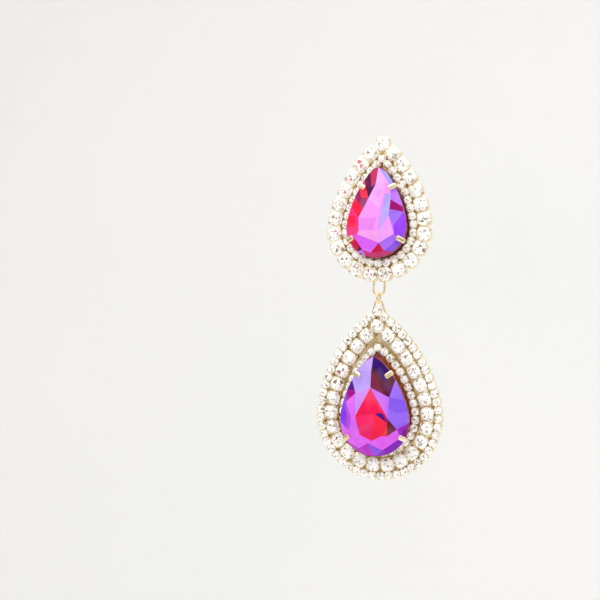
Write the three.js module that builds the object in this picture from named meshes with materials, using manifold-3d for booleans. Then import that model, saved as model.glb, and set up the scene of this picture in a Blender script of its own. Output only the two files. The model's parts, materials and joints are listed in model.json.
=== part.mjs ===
// A drop earring: an upper teardrop pinned through the ear, and a larger teardrop hung below it on
// one round link. Each drop is a faceted pear stone in a claw setting, ringed by rows of small clear
// stones in metal cups, which sit on an open back frame. Millimetres: X runs across the face, -Y is
// the front, +Z is up. The origin is the foot of the ear post, on the back of the upper drop.

import * as THREE from 'three';
import { mergeVertices } from 'three/addons/utils/BufferGeometryUtils.js';
import { ConvexGeometry } from 'three/addons/geometries/ConvexGeometry.js';
import Module from 'manifold-3d';

// Driving dimensions

const clearance = 0.3; // between two pieces that touch on the real earring
const bite = 0.15; // how far a piece runs into the metal that it is soldered to

const upperLean = 8; // degrees the upper drop leans back against the ear
const lowerTilt = 4.54; // degrees the lower drop's face hangs down, with its weight under the link
const postHeight = 10; // from the middle of the upper drop's round end up to the ear post
const shoulderAngle = 10; // degrees above level where a teardrop's round end passes into its sides

const largeCup = { width: 4.1, gap: 0.52, depth: 2.1, crown: 0.9, tableWidth: 2.4 };
const mediumCup = { width: 3.9, gap: 0.53, depth: 2.1, crown: 0.9, tableWidth: 2.3 };
const smallCup = { width: 2.25, gap: 0.32, depth: 1.9, crown: 0.55, tableWidth: 1.3 };
const cupBar = { width: 0.7, depth: 0.45 }; // joins neighbouring cups of a row

const upperPear = {
  width: 18.8, height: 29, tipRadius: 2.8, forward: 5.6, girdle: 0.6,
  crown: 1.6, tableInset: 3.4, pavilion: 2.9, pavilionInset: 5.2, keel: 5, clawShares: [0.225, 0.71],
};
const lowerPear = {
  width: 21.7, height: 31.5, tipRadius: 2.8, forward: 7.3, girdle: 0.6,
  crown: 1.8, tableInset: 3.9, pavilion: 3.4, pavilionInset: 6, keel: 6, clawShares: [0.19, 0.72],
};
const pavilionBend = 0.75; // share of a pavilion's depth that it has at its inner ring of corners
const upperRowStart = 0.15; // from the pear's edge out to the innermost row
const lowerRows = { start: -0.2, taller: 1.1 }; // the two outer rows follow a taller teardrop than the pear
const lowerInnerRow = { start: -0.6, tipRadius: 1.6 }; // the lower pear overhangs it
const lowerSink = 0.9; // how far the lower pear sits below the middle of its rows

const plate = 0.8; // back frame
const upperOverhang = 3.2; // how far the outer row stands out past the upper back frame
const lowerOverhang = 1.1; // how far the outer row stands out past the lower back frame
const outerStrip = 2.3; // lower frame, under the outer row
const windows = { count: 8, width: 1.5, bar: 2.2, corners: 5 }; // lower frame's slots, and the metal between two

const setting = { wall: 0.5, floor: 0.6 };
const claw = { width: 1.7, thickness: 0.5, reach: 1.9 };

const wire = 0.6; // diameter of the link and of both soldered loops
const upperLoop = { width: 4, reach: 4.3, foot: 1.4 }; // reach: from the stones' edge to its lowest point
const lowerLoop = { width: 3, reach: 2.6, spread: 6, foot: 3.6 };
const linkDiameter = 3.85;

const post = { diameter: 0.8, length: 11, nose: 0.4, padDiameter: 5, pad: 0.5 };

const cupSides = 8;
const roundSides = 12;
const wireSides = 6;
const linkSides = 14;
const loopSteps = 14;
const stoneSides = 20;
const frameSides = 44;
const mergeWithin = 1e-5; // corners closer than this are one

const goldFinish = new THREE.MeshStandardMaterial({ color: 0xe0c08c, roughness: 0.25, metalness: 1 });
const clearFinish = new THREE.MeshStandardMaterial({ color: 0xf4efe6, roughness: 0.08, metalness: 0.2 });
const pearFinish = new THREE.MeshStandardMaterial({ color: 0xc81fae, roughness: 0.05, metalness: 0.3 });

const wasm = await Module();
wasm.setup();

const radians = THREE.MathUtils.degToRad;
const rowBase = plate + clearance; // the rows' backs, in front of the back plane
const linkRadius = (linkDiameter - wire) / 2; // to the middle of its wire
const wireStep = wire + clearance; // between the middles of two wires that hang on each other

// Solids and meshes

function toSolid(geometry) {
  const bare = geometry.clone();
  bare.deleteAttribute('normal');
  bare.deleteAttribute('uv');
  const merged = mergeVertices(bare, mergeWithin);
  const triangles = [];
  for (let i = 0; i < merged.index.count; i += 3) {
    const [a, b, c] = [0, 1, 2].map((k) => merged.index.getX(i + k));
    if (a !== b && b !== c && a !== c) triangles.push(a, b, c);
  }
  const vertProperties = new Float32Array(merged.attributes.position.array);
  const triVerts = new Uint32Array(triangles);
  return new wasm.Manifold(new wasm.Mesh({ numProp: 3, vertProperties, triVerts }));
}

function fuse(geometries) {
  const { vertProperties, triVerts } = wasm.Manifold.union(geometries.map(toSolid)).getMesh();
  const fused = new THREE.BufferGeometry();
  fused.setAttribute('position', new THREE.BufferAttribute(new Float32Array(vertProperties), 3));
  fused.setIndex(new THREE.BufferAttribute(new Uint32Array(triVerts), 1));
  return fused;
}

function piece(name, geometry, finish) {
  const mesh = new THREE.Mesh(geometry, finish);
  mesh.name = name;
  return mesh;
}

// The teardrop that every row, frame and stone follows: a round end below, two long side arcs, and a
// tip that is sharp or rounded. Its middle is the centre of the round end.

class Teardrop {
  constructor(radius, sideRadius, tipRadius) {
    const shoulder = radians(shoulderAngle);
    const reach = sideRadius - radius;
    const side = new THREE.Vector2(-reach * Math.cos(shoulder), -reach * Math.sin(shoulder));
    const tipMiddle = new THREE.Vector2(0, side.y + Math.sqrt((sideRadius - tipRadius) ** 2 - side.x ** 2));
    const tipAngle = Math.atan2(tipMiddle.y - side.y, -side.x);
    Object.assign(this, { radius, sideRadius, tipRadius, tip: tipMiddle.y + tipRadius });
    this.arcs = [
      { middle: tipMiddle, radius: tipRadius, from: Math.PI / 2, to: tipAngle },
      { middle: side, radius: sideRadius, from: tipAngle, to: shoulder },
      { middle: new THREE.Vector2(0, 0), radius, from: shoulder, to: -Math.PI / 2 },
    ];
    this.half = this.arcs.reduce((sum, arc) => sum + arc.radius * (arc.from - arc.to), 0);
    this.length = 2 * this.half;
  }

  // From the full width, and the full height that it has with a sharp tip.
  static sized(width, height, tipRadius) {
    const radius = width / 2;
    const tip = height - radius;
    const reach = (tip ** 2 - radius ** 2) / (2 * (radius - tip * Math.sin(radians(shoulderAngle))));
    return new Teardrop(radius, radius + reach, tipRadius);
  }

  // Parallel to this one and further out by a distance, with a tip of its own.
  rounded(by, tipRadius) {
    return new Teardrop(this.radius + by, this.sideRadius + by, tipRadius);
  }

  // The same, with a tip that stays as round as it is, or is made sharp.
  grown(by) {
    return this.rounded(by, Math.max(this.tipRadius + by, 0));
  }

  sharpGrown(by) {
    return this.rounded(by, 0);
  }

  // The point a distance along the edge, clockwise from the tip as seen from the front, and its
  // outward normal.
  at(distance) {
    const along = ((distance % this.length) + this.length) % this.length;
    const mirrored = along > this.half;
    let left = mirrored ? this.length - along : along;
    const arc = this.arcs.find(({ radius, from, to }, i) => {
      const span = radius * (from - to);
      const here = left < span || i === this.arcs.length - 1;
      if (!here) left -= span;
      return here;
    });
    const angle = arc.from - left / arc.radius;
    const normal = new THREE.Vector2(Math.cos(angle), Math.sin(angle));
    const point = normal.clone().multiplyScalar(arc.radius).add(arc.middle);
    if (along === 0) {
      point.x = 0;
      normal.set(0, 1);
    }
    if (mirrored) {
      point.x *= -1;
      normal.x *= -1;
    }
    return { point, normal };
  }

  // Evenly spaced corners, counter-clockwise from the tip.
  outline(count) {
    return Array.from({ length: count }, (_, i) => this.at((-i * this.length) / count).point);
  }
}

// A flat shape drawn in X and Z, given its thickness in front of the back plane.
function slab(shape, thickness) {
  return new THREE.ExtrudeGeometry(shape, { depth: thickness, bevelEnabled: false }).rotateX(Math.PI / 2);
}

// One closed skin through rings of corners, each at its own depth in front of the back plane.
function loft(rings) {
  const count = rings[0].corners.length;
  const index = [];
  for (let ring = 0; ring < rings.length - 1; ring += 1) {
    for (let i = 0; i < count; i += 1) {
      const next = (i + 1) % count;
      const [a, b] = [ring * count + i, ring * count + next];
      index.push(a, b, b + count, a, b + count, a + count);
    }
  }
  const last = (rings.length - 1) * count;
  for (const [a, b, c] of THREE.ShapeUtils.triangulateShape(rings[0].corners, [])) index.push(c, b, a);
  for (const [a, b, c] of THREE.ShapeUtils.triangulateShape(rings.at(-1).corners, [])) {
    index.push(last + a, last + b, last + c);
  }
  const geometry = new THREE.BufferGeometry();
  const positions = rings.flatMap(({ corners, depth }) => corners.flatMap(({ x, y }) => [x, -depth, y]));
  geometry.setAttribute('position', new THREE.Float32BufferAttribute(positions, 3));
  geometry.setIndex(index);
  return geometry;
}

// Turns a piece that faces +X so that it faces a normal of the outline, and moves it to a point there.
function place(geometry, { point, normal }, depth = 0) {
  return geometry.rotateY(Math.atan2(-normal.y, normal.x)).translate(point.x, -depth, point.y);
}

// Rows of cups, each cup fused with its eight-sided stone

function cup({ width, depth, crown, tableWidth }) {
  const toCorner = 1 / (2 * Math.cos(Math.PI / cupSides));
  const profile = [
    new THREE.Vector2(0, 0),
    new THREE.Vector2(width * toCorner, 0),
    new THREE.Vector2(width * toCorner, depth),
    new THREE.Vector2(tableWidth * toCorner, depth + crown),
    new THREE.Vector2(0, depth + crown),
  ];
  return new THREE.LatheGeometry(profile, cupSides, Math.PI / cupSides).rotateX(Math.PI);
}

function row(path, size) {
  const count = Math.round(path.length / (size.width + size.gap));
  const places = Array.from({ length: count }, (_, i) => path.at((i * path.length) / count));
  const parts = places.map((spot) => place(cup(size), spot, rowBase));
  places.forEach(({ point }, i) => {
    const across = places[(i + 1) % count].point.clone().sub(point);
    const middle = point.clone().addScaledVector(across, 0.5);
    const bar = new THREE.BoxGeometry(across.length() - size.width + 4 * bite, cupBar.depth, cupBar.width);
    parts.push(place(bar, { point: middle, normal: across.normalize() }, rowBase + size.depth / 2));
  });
  return fuse(parts);
}

// Pear stones

function pearStone(edge, pear) {
  const front = pear.forward + pear.girdle;
  const keel = [new THREE.Vector2(0, 0), new THREE.Vector2(0, pear.keel)];
  const below = edge.grown(-pear.pavilionInset).outline(stoneSides / 2);
  const table = edge.grown(-pear.tableInset).outline(stoneSides / 2);
  const rings = [
    { corners: keel, depth: pear.forward - pear.pavilion },
    { corners: below, depth: pear.forward - pear.pavilion * pavilionBend },
    { corners: edge.outline(stoneSides), depth: pear.forward },
    { corners: edge.outline(stoneSides), depth: front },
    { corners: table, depth: front + pear.crown },
  ];
  return new ConvexGeometry(rings.flatMap(({ corners, depth }) => (
    corners.map(({ x, y }) => new THREE.Vector3(x, -depth, y))
  )));
}

// A tray with a closed floor that fills the frame's opening, a wall up to the stone, and four claws
// over its edge.
function clawSetting(edge, wallInset, pear) {
  const outer = edge.grown(-wallInset);
  const inner = outer.grown(-setting.wall);
  const pavilionSlope = (pear.pavilion * pavilionBend) / pear.pavilionInset;
  const wallTop = pear.forward - pavilionSlope * (wallInset + setting.wall) - clearance;
  const tray = loft([
    { corners: outer.outline(frameSides), depth: 0 },
    { corners: outer.outline(frameSides), depth: wallTop },
    { corners: inner.outline(frameSides), depth: wallTop },
    { corners: inner.outline(frameSides), depth: setting.floor },
  ]);
  const shares = pear.clawShares.flatMap((share) => [share, -share]);
  const claws = shares.map((share) => (
    place(clawStrip(wallInset, wallTop, pear), edge.at(share * edge.half))
  ));
  return fuse([tray, ...claws]);
}

function clawStrip(wallInset, wallTop, pear) {
  const foot = -wallInset - setting.wall / 2;
  const out = clearance + claw.thickness;
  const front = pear.forward + pear.girdle;
  const crownSlope = pear.crown / pear.tableInset;
  const overEdge = front + clearance;
  const tabEnd = overEdge + crownSlope * claw.reach;
  const rowFront = rowBase + smallCup.depth + smallCup.crown + clearance;
  const profile = new THREE.Shape([
    new THREE.Vector2(foot, rowFront - claw.thickness),
    new THREE.Vector2(-wallInset, rowFront),
    new THREE.Vector2(out, pear.forward - clearance),
    new THREE.Vector2(out, overEdge + claw.thickness / 2),
    new THREE.Vector2(clearance, overEdge + claw.thickness),
    new THREE.Vector2(-claw.reach, tabEnd + claw.thickness),
    new THREE.Vector2(-claw.reach, tabEnd),
    new THREE.Vector2(clearance, overEdge),
    new THREE.Vector2(clearance, pear.forward - clearance),
    new THREE.Vector2(foot, wallTop - bite),
  ]);
  const strip = new THREE.ExtrudeGeometry(profile, { depth: claw.width, bevelEnabled: false });
  return strip.translate(0, 0, -claw.width / 2).rotateX(Math.PI);
}

// Back frames and their soldered loops

function lowered({ x, y }, sink) {
  return new THREE.Vector2(x, y - sink);
}

function frameWindows(outer) {
  const inner = outer.sharpGrown(-windows.width);
  return Array.from({ length: windows.count }, (_, k) => {
    const corners = (edge, from, to) => {
      const start = (from / windows.count) * edge.length;
      const end = (to / windows.count) * edge.length;
      const inset = (windows.bar / 2) * Math.sign(end - start);
      const step = (end - start - 2 * inset) / (windows.corners - 1);
      return Array.from({ length: windows.corners }, (__, i) => edge.at(start + inset + i * step).point);
    };
    return new THREE.Path([...corners(outer, k, k + 1), ...corners(inner, k + 1, k)]);
  });
}

function framePlate(outer, inner, holes, sink) {
  const shape = new THREE.Shape(outer.outline(frameSides));
  shape.holes = [...holes, new THREE.Path(inner.outline(frameSides).map((corner) => lowered(corner, sink)))];
  return slab(shape, plate);
}

// A wire along a path drawn in X and Z, in the middle of the plate's thickness.
function wireAlong(path) {
  const corners = path.getSpacedPoints(loopSteps).map(({ x, y }) => new THREE.Vector3(x, -plate / 2, y));
  const section = new THREE.Shape(Array.from({ length: wireSides }, (_, i) => (
    new THREE.Vector2(wire / 2, 0).rotateAround(new THREE.Vector2(), (2 * Math.PI * i) / wireSides)
  )));
  const extrudePath = new THREE.CatmullRomCurve3(corners);
  return new THREE.ExtrudeGeometry(section, { steps: loopSteps, extrudePath });
}

function hangingLoopBelow(frameEdge, lowest) {
  const radius = (upperLoop.width - wire) / 2;
  const foot = -frameEdge.radius + upperLoop.foot;
  const path = new THREE.Path().moveTo(-radius, foot);
  path.lineTo(-radius, lowest + radius).absarc(0, lowest + radius, radius, Math.PI, 2 * Math.PI);
  return wireAlong(path.lineTo(radius, foot));
}

function hangingLoopAbove(frameEdge, highest) {
  const radius = (lowerLoop.width - wire) / 2;
  const foot = frameEdge.tip - lowerLoop.foot;
  const path = new THREE.Path().moveTo(-lowerLoop.spread / 2, foot);
  path.lineTo(-radius, highest - radius).absarc(0, highest - radius, radius, Math.PI, 0, true);
  return wireAlong(path.lineTo(lowerLoop.spread / 2, foot));
}

// The ear post and the link

function earPost() {
  const profile = [
    new THREE.Vector2(0, 0),
    new THREE.Vector2(post.padDiameter / 2, 0),
    new THREE.Vector2(post.padDiameter / 2, post.pad),
    new THREE.Vector2(post.diameter / 2, post.pad),
    new THREE.Vector2(post.diameter / 2, post.length - post.nose),
    new THREE.Vector2(post.diameter / 4, post.length),
    new THREE.Vector2(0, post.length),
  ];
  return fuse([new THREE.LatheGeometry(profile, roundSides).translate(0, clearance, 0)]);
}

function roundLink() {
  return new THREE.TorusGeometry(linkRadius, wire / 2, wireSides, linkSides).rotateY(Math.PI / 2);
}

// Upper drop

const upperEdge = Teardrop.sized(upperPear.width, upperPear.height, upperPear.tipRadius);
const upperInnerPath = upperEdge.sharpGrown(upperRowStart + smallCup.width / 2);
const upperOuterPath = upperEdge.sharpGrown(upperRowStart + smallCup.width + clearance + largeCup.width / 2);
const upperStonesEdge = upperOuterPath.sharpGrown(largeCup.width / 2);
const upperWallInset = Math.max(-upperRowStart, 0) + clearance;
const upperFrameEdge = upperStonesEdge.sharpGrown(-upperOverhang);
const upperLoopCentre = -(upperStonesEdge.radius + upperLoop.reach - wire / 2);

const upperPieces = [
  piece('upper_back_frame', fuse([
    framePlate(upperFrameEdge, upperEdge.grown(clearance - upperWallInset), [], 0),
    hangingLoopBelow(upperFrameEdge, upperLoopCentre),
  ]), goldFinish),
  piece('upper_claw_setting', clawSetting(upperEdge, upperWallInset, upperPear), goldFinish),
  piece('upper_pear_stone', pearStone(upperEdge, upperPear), pearFinish),
  piece('upper_inner_row', row(upperInnerPath, smallCup), clearFinish),
  piece('upper_outer_row', row(upperOuterPath, largeCup), clearFinish),
];
for (const mesh of upperPieces) mesh.position.z = -postHeight;

const upperDrop = new THREE.Group();
upperDrop.rotation.x = -radians(upperLean);
upperDrop.add(...upperPieces, piece('ear_post', earPost(), goldFinish));
upperDrop.updateMatrixWorld();

// Middle link, which hangs in the upper loop and carries the lower one

const upperPivot = upperDrop.localToWorld(new THREE.Vector3(0, -plate / 2, upperLoopCentre - postHeight));
const lowerPivot = upperPivot.clone().add(new THREE.Vector3(0, 0, wireStep - 2 * linkRadius));
const middleLink = piece('middle_link', roundLink(), goldFinish);
middleLink.position.copy(upperPivot).add(new THREE.Vector3(0, 0, wireStep - linkRadius));

// Lower drop

const lowerEdge = Teardrop.sized(lowerPear.width, lowerPear.height, lowerPear.tipRadius);
const lowerInnerPath = lowerEdge.rounded(lowerInnerRow.start + smallCup.width / 2, lowerInnerRow.tipRadius);
const lowerRowsEdge = Teardrop.sized(lowerPear.width, lowerPear.height + lowerRows.taller, lowerPear.tipRadius);
const lowerMiddlePath = lowerRowsEdge.sharpGrown(
  lowerRows.start + smallCup.width + clearance + mediumCup.width / 2,
);
const lowerOuterPath = lowerMiddlePath.sharpGrown(mediumCup.width / 2 + clearance + smallCup.width / 2);
const lowerStonesEdge = lowerOuterPath.sharpGrown(smallCup.width / 2);
const lowerWallInset = Math.max(lowerSink - lowerInnerRow.start, 0) + clearance;
const lowerFrameEdge = lowerStonesEdge.sharpGrown(-lowerOverhang);
const lowerLoopCentre = lowerOuterPath.tip + smallCup.width / 2 + lowerLoop.reach - wire / 2;

const lowerPieces = [
  piece('lower_back_frame', fuse([
    framePlate(
      lowerFrameEdge,
      lowerEdge.grown(clearance - lowerWallInset),
      frameWindows(lowerFrameEdge.sharpGrown(-outerStrip)),
      lowerSink,
    ),
    hangingLoopAbove(lowerFrameEdge, lowerLoopCentre),
  ]), goldFinish),
  piece('lower_claw_setting', clawSetting(lowerEdge, lowerWallInset, lowerPear), goldFinish),
  piece('lower_pear_stone', pearStone(lowerEdge, lowerPear), pearFinish),
  piece('lower_inner_row', row(lowerInnerPath, smallCup), clearFinish),
  piece('lower_middle_row', row(lowerMiddlePath, mediumCup), clearFinish),
  piece('lower_outer_row', row(lowerOuterPath, smallCup), clearFinish),
];
for (const mesh of lowerPieces) {
  const sink = ['lower_claw_setting', 'lower_pear_stone'].includes(mesh.name) ? lowerSink : 0;
  mesh.position.set(0, plate / 2, wireStep - lowerLoopCentre - sink);
}

const lowerDrop = new THREE.Group();
lowerDrop.rotation.x = radians(lowerTilt);
lowerDrop.position.copy(lowerPivot);
lowerDrop.add(...lowerPieces);

const earring = new THREE.Group();
earring.add(upperDrop, middleLink, lowerDrop);

export default earring;
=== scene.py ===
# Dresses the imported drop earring: faceted pear stones, cup chain, settings, frames and links.
# Pieces are modelled in millimetres in their drop's own frame (X right, -Y front, Z up, zero at the
# middle of its round end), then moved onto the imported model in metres.

import json
import math
import random

import bmesh
import bpy
from mathutils import Matrix, Vector
from mathutils.geometry import delaunay_2d_cdt


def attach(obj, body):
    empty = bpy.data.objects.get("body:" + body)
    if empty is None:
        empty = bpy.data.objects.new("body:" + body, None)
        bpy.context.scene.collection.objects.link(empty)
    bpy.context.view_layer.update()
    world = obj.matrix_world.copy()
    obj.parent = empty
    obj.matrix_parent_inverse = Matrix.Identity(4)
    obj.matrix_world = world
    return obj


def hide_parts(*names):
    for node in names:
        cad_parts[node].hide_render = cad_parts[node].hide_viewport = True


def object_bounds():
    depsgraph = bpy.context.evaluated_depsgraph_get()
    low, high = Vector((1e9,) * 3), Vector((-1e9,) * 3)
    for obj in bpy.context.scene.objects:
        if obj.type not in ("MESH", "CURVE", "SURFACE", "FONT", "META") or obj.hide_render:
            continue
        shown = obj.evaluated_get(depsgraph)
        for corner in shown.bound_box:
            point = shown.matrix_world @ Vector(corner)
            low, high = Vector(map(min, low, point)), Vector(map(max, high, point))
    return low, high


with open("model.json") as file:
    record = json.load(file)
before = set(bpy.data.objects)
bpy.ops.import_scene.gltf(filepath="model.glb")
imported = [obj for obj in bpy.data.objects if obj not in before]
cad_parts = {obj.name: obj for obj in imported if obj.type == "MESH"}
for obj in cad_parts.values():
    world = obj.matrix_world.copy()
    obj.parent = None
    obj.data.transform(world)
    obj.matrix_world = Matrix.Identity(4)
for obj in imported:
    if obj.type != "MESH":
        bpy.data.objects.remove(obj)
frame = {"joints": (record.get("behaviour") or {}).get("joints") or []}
bpy.ops.object.select_all(action="DESELECT")
packedBox = [list(corner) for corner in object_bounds()]
random.seed(7)
print("stage: frame loaded")

# The teardrop that rows, frames and stones follow

drops = {
    "millimetre": 0.001,
    "shoulder": 10,  # degrees above level where the round end passes into the sides
    "plate": 0.8,
    "clearance": 0.3,
    "upperLean": 8,
    "postHeight": 10,
    "lowerTilt": 4.54,
    "wire": 0.6,
}
rowBase = drops["plate"] + drops["clearance"]


class Teardrop:
    def __init__(self, radius, sideRadius, tipRadius):
        shoulder = math.radians(drops["shoulder"])
        reach = sideRadius - radius
        side = (-reach * math.cos(shoulder), -reach * math.sin(shoulder))
        tipUp = side[1] + math.sqrt((sideRadius - tipRadius) ** 2 - side[0] ** 2)
        tipAngle = math.atan2(tipUp - side[1], -side[0])
        self.radius, self.sideRadius, self.tipRadius = radius, sideRadius, tipRadius
        self.tip = tipUp + tipRadius
        self.arcs = [  # middle, radius, angle from and to, clockwise from the tip
            ((0, tipUp), tipRadius, math.pi / 2, tipAngle),
            (side, sideRadius, tipAngle, shoulder),
            ((0, 0), radius, shoulder, -math.pi / 2),
        ]
        self.half = sum(arc[1] * (arc[2] - arc[3]) for arc in self.arcs)
        self.length = 2 * self.half

    def grown(self, by, sharp=False, tipRadius=None):
        if tipRadius is None:
            tipRadius = 0 if sharp else max(self.tipRadius + by, 0)
        return Teardrop(self.radius + by, self.sideRadius + by, tipRadius)

    def at(self, distance):  # point and outward normal, as (x, z) pairs
        along = distance % self.length
        mirrored = along > self.half
        left = self.length - along if mirrored else along
        for middle, radius, start, end in self.arcs:
            span = radius * (start - end)
            if left < span or end < 0:
                break
            left -= span
        angle = start - left / radius if radius else start
        normal = Vector((math.cos(angle), math.sin(angle)))
        point = normal * radius + Vector(middle)
        if along == 0:
            point.x, normal = 0, Vector((0, 1))
        if mirrored:
            point.x, normal.x = -point.x, -normal.x
        return point, normal

    def ring(self, count):  # corners clockwise from the tip
        return [self.at(i * self.length / count)[0] for i in range(count)]


def sizedTeardrop(width, height, tipRadius):
    radius = width / 2
    tip = height - radius
    reach = (tip**2 - radius**2) / (2 * (radius - tip * math.sin(math.radians(drops["shoulder"]))))
    return Teardrop(radius, radius + reach, tipRadius)


# Modelling helpers


def startPiece(name):
    piece = bpy.context.object
    piece.name = piece.data.name = name
    return piece


def choose(piece, kind, test):  # selects only the faces, edges or corners that pass a test
    bpy.ops.mesh.select_all(action="DESELECT")
    bpy.ops.mesh.select_mode(type={"faces": "FACE", "edges": "EDGE", "verts": "VERT"}[kind])
    mesh = bmesh.from_edit_mesh(piece.data)
    for element in getattr(mesh, kind):
        if test(element):
            element.select_set(True)
    mesh.select_flush_mode()
    bmesh.update_edit_mesh(piece.data)


def editing(on):
    bpy.ops.object.mode_set(mode="EDIT" if on else "OBJECT")


def useModifier(piece, kind, **settings):
    bpy.context.view_layer.objects.active = piece
    modifier = piece.modifiers.new(kind.title(), kind)
    for name, value in settings.items():
        setattr(modifier, name, value)
    bpy.ops.object.modifier_apply(modifier=modifier.name)


def bevelSharp(piece, width, segments, degrees):  # rounds the edges that turn by more than the angle
    useModifier(
        piece, "BEVEL", width=width, segments=segments,
        limit_method="ANGLE", angle_limit=math.radians(degrees),
    )


def smoothCurves(piece):  # smooth shading, with the edges of over 35 degrees kept sharp
    bpy.context.view_layer.objects.active = piece
    piece.select_set(True)
    bpy.ops.object.shade_smooth_by_angle(angle=math.radians(35))
    piece.select_set(False)


def joinPieces(pieces, name):
    bpy.ops.object.select_all(action="DESELECT")
    for piece in pieces:
        piece.select_set(True)
    bpy.context.view_layer.objects.active = pieces[0]
    bpy.ops.object.join()
    joined = startPiece(name)
    bpy.ops.object.select_all(action="DESELECT")
    return joined


def copyAt(template, place):
    copy = template.copy()
    copy.data = template.data.copy()
    copy.data.transform(place)
    bpy.context.collection.objects.link(copy)
    return copy


def discard(piece):
    mesh = piece.data
    bpy.data.objects.remove(piece)
    bpy.data.meshes.remove(mesh)


def loftRings(name, rings, closeEnds):  # rings of (x, depth, z) corners, joined in order by extruding
    count = len(rings[0])
    fill = "NGON" if closeEnds else "NOTHING"
    bpy.ops.mesh.primitive_circle_add(vertices=count, radius=1, fill_type=fill)
    piece = startPiece(name)
    editing(True)
    mesh = bmesh.from_edit_mesh(piece.data)
    spot = mesh.verts.layers.int.new("spot")
    mesh.verts.ensure_lookup_table()
    for corner in mesh.verts:
        corner[spot] = corner.index
        x, depth, z = rings[0][corner.index]
        corner.co = (x, -depth, z)
    bmesh.update_edit_mesh(piece.data)
    for ring in rings[1:]:
        bpy.ops.mesh.extrude_region_move()
        mesh = bmesh.from_edit_mesh(piece.data)
        spot = mesh.verts.layers.int["spot"]
        for corner in mesh.verts:
            if corner.select:
                x, depth, z = ring[corner[spot]]
                corner.co = (x, -depth, z)
        bmesh.update_edit_mesh(piece.data)
    bpy.ops.mesh.select_all(action="SELECT")
    bpy.ops.mesh.normals_make_consistent(inside=False)
    editing(False)
    return piece


def ringAt(outline, depth, count):
    return [(point.x, depth, point.y) for point in outline.ring(count)]


def facing(point, normal, depth):  # from a template that faces +X and -Y to a point of an outline
    turn = Matrix.Rotation(math.atan2(-normal.y, normal.x), 4, "Y")
    return Matrix.Translation((point.x, -depth, point.y)) @ turn


def wirePiece(name, points, radius, sides):
    curve = bpy.data.curves.new(name, "CURVE")
    curve.dimensions = "3D"
    curve.bevel_depth = radius
    curve.bevel_resolution = sides
    curve.use_fill_caps = True
    spline = curve.splines.new("POLY")
    spline.points.add(len(points) - 1)
    for corner, (x, depth, z) in zip(spline.points, points):
        corner.co = (x, -depth, z, 1)
    piece = bpy.data.objects.new(name, curve)
    bpy.context.collection.objects.link(piece)
    bpy.context.view_layer.objects.active = piece
    piece.select_set(True)
    bpy.ops.object.convert(target="MESH")
    bpy.ops.object.shade_smooth()
    piece.select_set(False)
    return piece


def finishPiece(piece, body, nodes, material, place):
    piece.data.transform(place)
    piece.data.materials.clear()
    piece.data.materials.append(material)
    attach(piece, body)
    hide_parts(*nodes)
    return piece


# Shader maths


class Wire:  # a node's output: + - * on it add Math nodes
    def __init__(self, tree, socket):
        self.tree = tree
        self.socket = socket

    def node(self, kind, settings=None, inputs=None, output=0):
        made = self.tree.nodes.new(kind)
        for name, value in (settings or {}).items():
            if name == "stops":
                ramp = made.color_ramp
                for index, (position, tint) in enumerate(value):
                    stop = ramp.elements[index] if index < 2 else ramp.elements.new(position)
                    stop.position, stop.color = position, tint
            else:
                setattr(made, name, value)
        for key, value in (inputs or {}).items():
            if isinstance(value, Wire):
                self.tree.links.new(value.socket, made.inputs[key])
            else:
                made.inputs[key].default_value = value
        return Wire(self.tree, made.outputs[output])

    def maths(self, operation, first, second):
        return self.node("ShaderNodeMath", {"operation": operation}, {0: first, 1: second})

    def __add__(self, other):
        return self.maths("ADD", self, other)

    def __radd__(self, other):
        return self.maths("ADD", other, self)

    def __sub__(self, other):
        return self.maths("SUBTRACT", self, other)

    def __rsub__(self, other):
        return self.maths("SUBTRACT", other, self)

    def __mul__(self, other):
        return self.maths("MULTIPLY", self, other)

    def __rmul__(self, other):
        return self.maths("MULTIPLY", other, self)

    def into(self, shader, socket):
        self.tree.links.new(self.socket, shader.inputs[socket])


def newMaterial(name, values):
    material = bpy.data.materials.new(name)
    material.use_nodes = True
    tree = material.node_tree
    shader = tree.nodes["Principled BSDF"]
    for socket, value in values.items():
        shader.inputs[socket].default_value = value
    place = Wire(tree, tree.nodes.new("ShaderNodeTexCoord").outputs["Object"])
    return material, shader, place


def colour(code):  # "#rrggbb" as the linear values that a shader takes
    parts = [int(code[i : i + 2], 16) / 255 for i in (1, 3, 5)]
    return tuple(p / 12.92 if p <= 0.04045 else ((p + 0.055) / 1.055) ** 2.4 for p in parts) + (1.0,)


def noiseAt(place, scale, detail):
    return place.node("ShaderNodeTexNoise", {}, {"Vector": place, "Scale": scale, "Detail": detail})


# The shade colour is painted shade: the brown-red of the claw trays' walls and lips, standing for the shadow
# under the pear and its red back reflected
goldFinish = {
    "dark": "#E6C692", "body": "#F8E3B6", "pale": "#FFF6E2", "shade": "#B0603A",
    "cloudScale": 260, "cloudShare": 0.55, "wearScale": 1500, "roughness": 0.14, "roughnessSpread": 0.2,
    "bumpScale": 2600, "bumpHeight": 0.00001, "bumpStrength": 0.35,
}


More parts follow.
